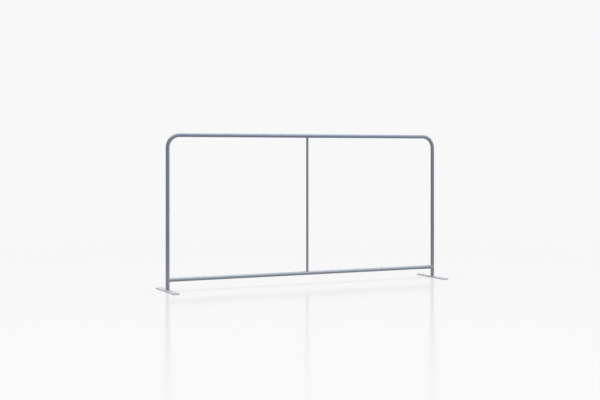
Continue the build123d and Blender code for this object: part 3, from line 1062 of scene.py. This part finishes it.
def make_spring(rail, seam):
    """A strip bent into a hairpin, which closes as its button is pressed."""
    name = f"button_spring_{rail}_{seam}"
    low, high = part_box(name)
    button_x = button_middle(rail, seam)
    wall_z, button_z = (high.z, low.z) if rail == "top" else (low.z, high.z)
    route = leaf_route(button_x, wall_z, button_z)
    bm = bmesh.new()
    # A square of one metre, turned to face along X and scaled down to the strip's section.
    section = Matrix(((0, 0, 1, 0), (0, LEAF_WIDTH, 0, 0), (LEAF_THICK, 0, 0, 0), (0, 0, 0, 1)))
    at_the_end = Matrix.Translation(route[0]) @ section
    bmesh.ops.create_grid(bm, x_segments=1, y_segments=1, size=1 / 2, matrix=at_the_end)
    ring = run_along(bm, bm.edges[:], route, LEAF_BEND)
    bmesh.ops.edgeloop_fill(bm, edges=ring)
    bmesh.ops.recalc_face_normals(bm, faces=bm.faces[:])
    round_edges(bm, sharp_edges(bm), size=LEAF_EDGE, segments=2)
    piece = add_piece(f"leaf_{rail}_{seam}", bm, SPRING_FINISH, "frame", name)
    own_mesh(piece)
    return piece


for rail in RAILS:
    for seam in SEAMS:
        report(make_spring(rail, seam))

# %% [markdown]
# ## Foot plates
# Each foot is a steel bar, powder coated in silver grey. Powder coat melts into a skin like orange peel,
# and a silver one holds fine metal flakes. It thins out over edges, so the first chips come there, in
# stretches: crumbs of noise, cut off at a level, and only where a layer called worn says edge.

# %% Powder coat
CHIPPED_METAL = (0.30, 0.30, 0.31)


def chips_on_edges(finish, place):
    """Small chips in stretches along the worn edges."""
    crumbs = noise(finish, place, grains=(240, 240, 240), detail=5.0)
    stretches = noise(finish, place, grains=(24, 24, 24), detail=2.0)
    stretches = spread(finish, stretches, to=(0.5, 1.0), between=(0.42, 0.62))
    chips = combine(finish, "MULTIPLY", crumbs, stretches)
    chips = combine(finish, "MULTIPLY", chips, stored(finish, "worn", "Fac"))
    return spread(finish, chips, to=(0, 0.8), between=(0.465, 0.515))


def powder_coat():
    """Silver grey paint with flakes and soft patches, chipped down to dull metal."""
    finish, shader = new_finish("plate_paint_finish", metallic=0.2, roughness=0.6)
    place = object_place(finish)
    peel = noise(finish, place, grains=(900, 900, 900), detail=1.0)
    flakes = noise(finish, place, grains=(5200, 5200, 5200), detail=0.0)
    flakes = spread(finish, flakes, to=(0, 1 - MAIN_SHARE), between=(0.45, 0.7))
    patches = noise(finish, place, grains=(30, 30, 30))
    both = combine(finish, "ADD", spread(finish, patches, to=(0, MAIN_SHARE)), flakes)
    tint = colour_between(finish, both, first=(0.446, 0.458, 0.490), second=(0.510, 0.523, 0.556))
    tint = colour_between(finish, chips_on_edges(finish, place), tint, CHIPPED_METAL)
    paint(finish, shader, tint, roughness=spread(finish, patches, to=(0.60, 0.72)))
    relief(finish, shader, peel, depth=0.00002)
    return finish


PLATE_FINISH = powder_coat()
print("made", PLATE_FINISH.name)

# %% [markdown]
# The bar has rounded corners and a broken top edge. A border is inset on the top so that the layer of wear
# can fade towards the middle. A screw holds the foot's post from below, in a countersunk hole, and the
# cutter for that is one more spun section.

# %% A bar and its wear
PLATE_CORNER = 0.004
PLATE_BORDER = 0.0035
WEAR_AT_FOOT_OF_EDGE = 0.4


def rounded_bar(low, high):
    """A bar between two corners, with its four upright edges rounded."""
    bm = bmesh.new()
    place = Matrix.Translation((low + high) / 2) @ Matrix.Diagonal((*(high - low), 1))
    bmesh.ops.create_cube(bm, size=1, matrix=place)
    upright_edges = [edge for edge in bm.edges if edge.verts[0].co.xy == edge.verts[1].co.xy]
    round_edges(bm, upright_edges, size=PLATE_CORNER, segments=8)
    return bm


def edges_at(bm, height):
    """The sharp edges that lie at one height."""
    return [
        edge for edge in sharp_edges(bm)
        if all(abs(vert.co.z - height) < MERGE_DISTANCE for vert in edge.verts)
    ]


def from_outline(point, low, high):
    """How far inside the outline of a rounded bar a point lies."""
    across = max(low.x - point.x, point.x - high.x) + PLATE_CORNER
    along = max(low.y - point.y, point.y - high.y) + PLATE_CORNER
    return PLATE_CORNER - math.hypot(max(across, 0), max(along, 0)) - min(max(across, along), 0)


def plate_wear(point, low, high):
    """Full at the top edge, less at the foot of the side, and none past the border."""
    lift = (point.z - low.z) / (high.z - low.z)
    edge = WEAR_AT_FOOT_OF_EDGE + (1 - WEAR_AT_FOOT_OF_EDGE) * lift
    return edge * (1 - from_outline(point, low, high) / PLATE_BORDER)


print("plate corners", PLATE_CORNER, "and border", PLATE_BORDER)

# %% Foot plates
PLATE_EDGE = 0.0008
PLATE_UNDER_EDGE = 0.0004
COUNTERSINK_RADIUS = 0.0083
SCREW_HOLE_RADIUS = 0.0043
CUT_PAST = 0.001


def make_plate(side_name, side):
    """A bar with broken edges and a countersunk hole from below."""
    name = f"{side_name}_foot_plate"
    low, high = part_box(name)
    bm = rounded_bar(low, high)
    top = max(bm.faces, key=lambda face: face.calc_center_median().z)
    bmesh.ops.inset_region(bm, faces=[top], thickness=PLATE_BORDER)
    round_edges(bm, edges_at(bm, high.z), size=PLATE_EDGE, segments=3)
    round_edges(bm, edges_at(bm, low.z), size=PLATE_UNDER_EDGE, segments=2)
    piece = add_piece(f"{name}_bar", bm, PLATE_FINISH, f"{side_name}_foot", name)
    above = high.z - low.z + CUT_PAST
    section = (
        (0, -CUT_PAST),
        (COUNTERSINK_RADIUS + CUT_PAST, -CUT_PAST),
        (SCREW_HOLE_RADIUS, COUNTERSINK_RADIUS - SCREW_HOLE_RADIUS),
        (SCREW_HOLE_RADIUS, above),
        (0, above),
    )
    cutter = bmesh.new()
    spin_section(cutter, section, Matrix.Translation((side * UPRIGHT_X, 0, low.z)))
    cut_away(piece, cutter)
    mark_worn(piece, lambda point: plate_wear(point, low, high))
    return piece


for side_name, side in SIDES.items():
    report(make_plate(side_name, side))

# %% [markdown]
# ## Rubber sheets
# A ribbed rubber sheet under each plate keeps the foot from sliding. Rubber is nearly black and dull, and
# the floor's dust greys it in patches. Two scales of noise give both: a fine grain for the roughness and
# the relief, and broad patches for the dust.


# %% Rubber
def dusty_rubber():
    """Dull black with a fine grain and grey dust."""
    finish, shader = new_finish("pad_rubber_finish", metallic=0.0, roughness=0.85)
    place = object_place(finish)
    grain = noise(finish, place, grains=(2600, 2600, 2600))
    dust = noise(finish, place, grains=(70, 70, 70))
    dust = spread(finish, dust, between=(0.45, 0.75))
    tint = colour_between(finish, dust, first=(0.022, 0.022, 0.023), second=(0.055, 0.054, 0.052))
    paint(finish, shader, tint, roughness=spread(finish, grain, to=(0.75, 0.95)))
    relief(finish, shader, grain, depth=0.00004)
    return finish


PAD_FINISH = dusty_rubber()
print("made", PAD_FINISH.name)

# %% [markdown]
# The ribs run across the sheet. Bump could fake them, but they show at its edge, so they are modelled: the
# sheet is cut into narrow strips, and each strip's lower face is inset twice, the second time pressed in,
# which leaves a flat rib between two strips.

# %% Rubber sheets
RIB_PITCH = 0.004
RIB_HALF = 0.0006
GROOVE_SLOPE = 0.0002
GROOVE_DEPTH = 0.0004
PAD_HOLE_RADIUS = 0.009


def make_pad(side_name, side):
    """A sheet with ribs underneath and a hole that lets a driver reach the screw."""
    name = f"{side_name}_foot_pad"
    low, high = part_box(name)
    bm = rounded_bar(low, high)
    strips = round((high.y - low.y) / RIB_PITCH)
    for index in range(1, strips):
        at = (0, low.y + index * RIB_PITCH, 0)
        geom = bm.verts[:] + bm.edges[:] + bm.faces[:]
        bmesh.ops.bisect_plane(bm, geom=geom, dist=MERGE_DISTANCE, plane_co=at, plane_no=(0, 1, 0))
    under = [face for face in bm.faces if face.calc_center_median().z < low.z + MERGE_DISTANCE]
    bmesh.ops.inset_individual(bm, faces=under, thickness=RIB_HALF)
    bmesh.ops.inset_individual(bm, faces=under, thickness=GROOVE_SLOPE, depth=-GROOVE_DEPTH)
    piece = add_piece(f"{name}_sheet", bm, PAD_FINISH, f"{side_name}_foot", name)
    axis_x = side * UPRIGHT_X
    hole = bmesh.new()
    drill(hole, PAD_HOLE_RADIUS, (axis_x, 0, low.z - CUT_PAST), (axis_x, 0, high.z + CUT_PAST))
    cut_away(piece, hole)
    return piece


for side_name, side in SIDES.items():
    report(make_pad(side_name, side))

# %% [markdown]
# ## Finishes for the CAD nodes that stay
# Buttons, sleeves, plugs, foot posts, bushes, washers and screws already have their right shape, so they
# only need a finish. All of these parts are straight or turned, so plain object coordinates are enough:
# rings on a turned post are noise that is fine along Z and coarse across it, and lines on a drawn sleeve
# are coarse along X.

# %% Turned and drawn metal
SMOOTHER = 0.06
DULLER = 0.08


def plain_metal(name, dark, light, grains, roughness, depth):
    """Metal with one directed grain and a faint cloud over it."""
    finish, shader = new_finish(name, metallic=1.0, roughness=roughness)
    place = object_place(finish)
    grain = noise(finish, place, grains)
    both = layered(finish, grain, noise(finish, place, grains=(160, 160, 160)))
    tint = colour_between(finish, both, dark, light)
    around = (roughness - SMOOTHER, roughness + DULLER)
    paint(finish, shader, tint, roughness=spread(finish, both, to=around, between=(0, 1)))
    relief(finish, shader, grain, depth)
    return finish


node_finishes = {
    "button_steel": plain_metal(
        "button_steel_finish", dark=(0.24, 0.25, 0.27), light=(0.36, 0.37, 0.39),
        grains=(2400, 2400, 500), roughness=0.24, depth=0.000004,
    ),
    "ferrule_aluminium": plain_metal(
        "ferrule_aluminium_finish", dark=(0.50, 0.51, 0.53), light=(0.62, 0.63, 0.65),
        grains=(8, 1500, 1500), roughness=0.34, depth=0.000008,
    ),
    "foot_post_steel": plain_metal(
        "foot_post_steel_finish", dark=(0.38, 0.39, 0.41), light=(0.52, 0.53, 0.54),
        grains=(40, 40, 3600), roughness=0.30, depth=0.000006,
    ),
    "screw_steel": plain_metal(
        "screw_steel_finish", dark=(0.36, 0.37, 0.40), light=(0.50, 0.49, 0.46),
        grains=(900, 900, 900), roughness=0.32, depth=0.000006,
    ),
}
print("made", ", ".join(finish.name for finish in node_finishes.values()))

# %% [markdown]
# The plugs and bushes are moulded. Plastic keeps the fine grain of its mould, flows a little unevenly, and
# shows light rubs along Z where a tube slides over it.

# %% Moulded plastic
RUB_BRIGHTNESS = 1.6
RUB_SHARE = 0.1


def moulded_plastic(name, dark, light):
    """Plastic with a fine moulded grain, and lengthwise rubs where it slides."""
    finish, shader = new_finish(name, metallic=0.0, roughness=0.5)
    place = object_place(finish)
    grain = noise(finish, place, grains=(4200, 4200, 4200), detail=1.0)
    flow = noise(finish, place, grains=(90, 90, 40))
    rubs = noise(finish, place, grains=(1100, 1100, 12), detail=1.0)
    rubs = spread(finish, rubs, to=(0, RUB_SHARE), between=(0.58, 0.66))
    tint = colour_between(finish, spread(finish, flow), dark, light)
    tint = colour_between(finish, rubs, tint, brighter(light, RUB_BRIGHTNESS))
    paint(finish, shader, tint, roughness=spread(finish, flow, to=(0.44, 0.58)))
    relief(finish, shader, grain, depth=0.000012)
    return finish


node_finishes["plug_plastic"] = moulded_plastic(
    "plug_plastic_finish", dark=(0.165, 0.170, 0.182), light=(0.205, 0.210, 0.222)
)
node_finishes["bush_nylon"] = moulded_plastic(
    "bush_nylon_finish", dark=(0.560, 0.560, 0.550), light=(0.630, 0.630, 0.620)
)
print("made", node_finishes["plug_plastic"].name, "and", node_finishes["bush_nylon"].name)

# %% [markdown]
# The record says which slot each node takes its finish from, so one loop over the record dresses them all.

# %% Dress the CAD nodes
dressed = 0
for subpart in frame["record"]["subparts"]:
    if subpart["material_slot"] in node_finishes:
        node = frame["nodes"][subpart["node"]]
        node.material_slots[0].material = node_finishes[subpart["material_slot"]]
        dressed += 1
print(dressed, "CAD nodes dressed")
